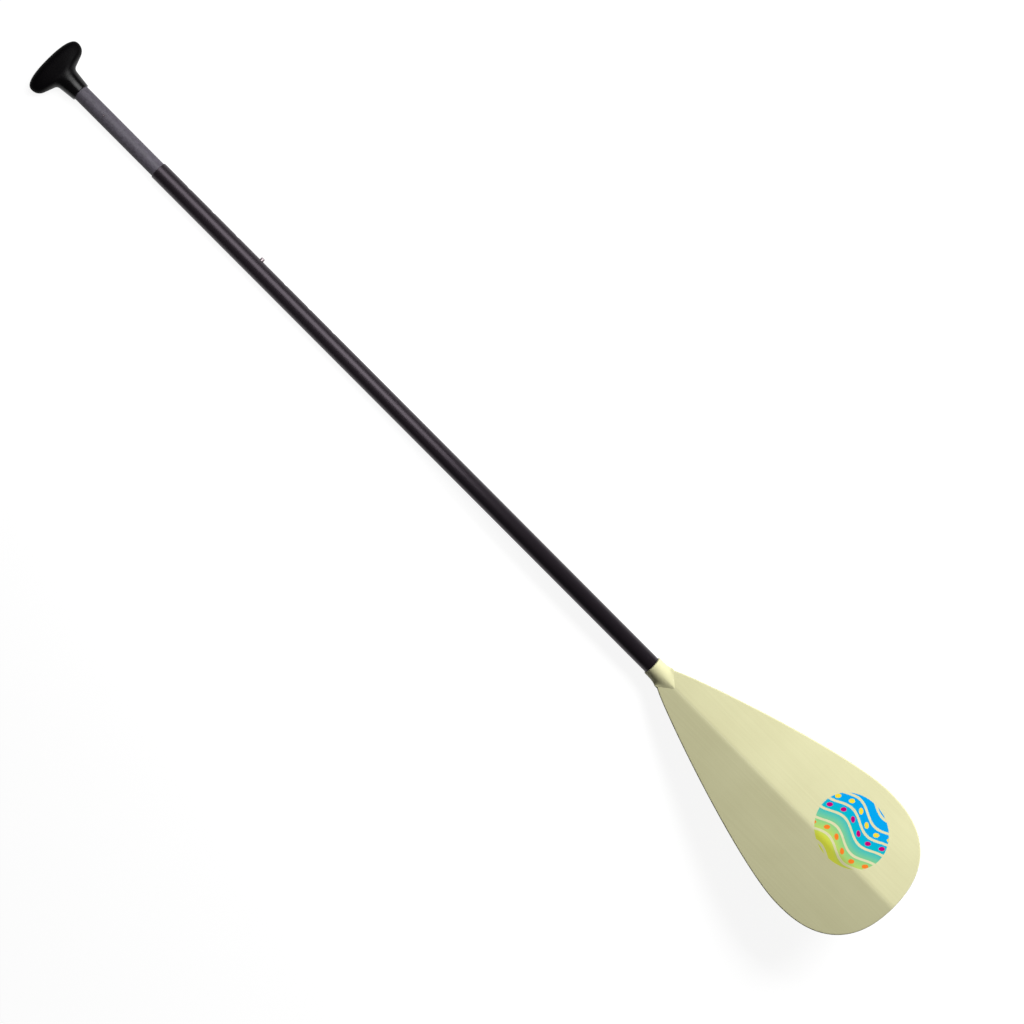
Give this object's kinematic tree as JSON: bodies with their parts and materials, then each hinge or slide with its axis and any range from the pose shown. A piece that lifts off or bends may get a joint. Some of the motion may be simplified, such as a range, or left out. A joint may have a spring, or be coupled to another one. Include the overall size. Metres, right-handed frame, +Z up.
{
  "type": "stand-up paddleboard paddle",
  "caption": "Adjustable stand-up paddle: palm grip, telescoping alloy shaft locked by a snap button in a row of holes, and a canted teardrop blade with a soft central ridge.",
  "frame": {"origin": "bottom centre of the bounding box: the point on the floor under the middle of the paddle, which lies on the back of its neck and grip with the ridged face of the blade up", "axes": "+X along the shaft from the grip to the blade, +Y to the side with the adjustment holes and the button, +Z up, out of the ridged face of the blade"},
  "size_m": [1.8068, 0.2452, 0.1138],
  "materials": {
    "cream_plastic": "satin",
    "gloss_black_tube": "gloss",
    "matt_grey_tube": "matte",
    "grip_plastic": "satin",
    "pin_metal": "satin",
    "button_metal": "satin",
    "spring_steel": "satin",
    "black_nylon": "satin",
    "seal_rubber": "matte",
    "float_foam": "matte"
  },
  "bodies": {
    "lower_paddle": {"blade": "cream_plastic", "lower_shaft": "gloss_black_tube", "lower_seal": "seal_rubber", "lower_float": "float_foam"},
    "upper_paddle": {"upper_shaft": "matt_grey_tube", "palm_grip": "grip_plastic", "grip_pin": "pin_metal", "button_spring": "spring_steel", "end_plug": "black_nylon", "upper_seal": "seal_rubber"},
    "button": {"snap_button": "button_metal"}
  },
  "joints": [
    {"name": "shaft_slide", "type": "slide", "parent": "lower_paddle", "child": "upper_paddle", "axis": [1, 0, 0], "range_m": [-0.1524, 0.1524]},
    {"name": "button_press", "type": "slide", "parent": "upper_paddle", "child": "button", "axis": [0, -1, 0], "range_m": [0, 0.0061], "stiffness_N_per_m": 1200, "springref_m": -0.004, "deforming": ["button_spring"]}
  ]
}
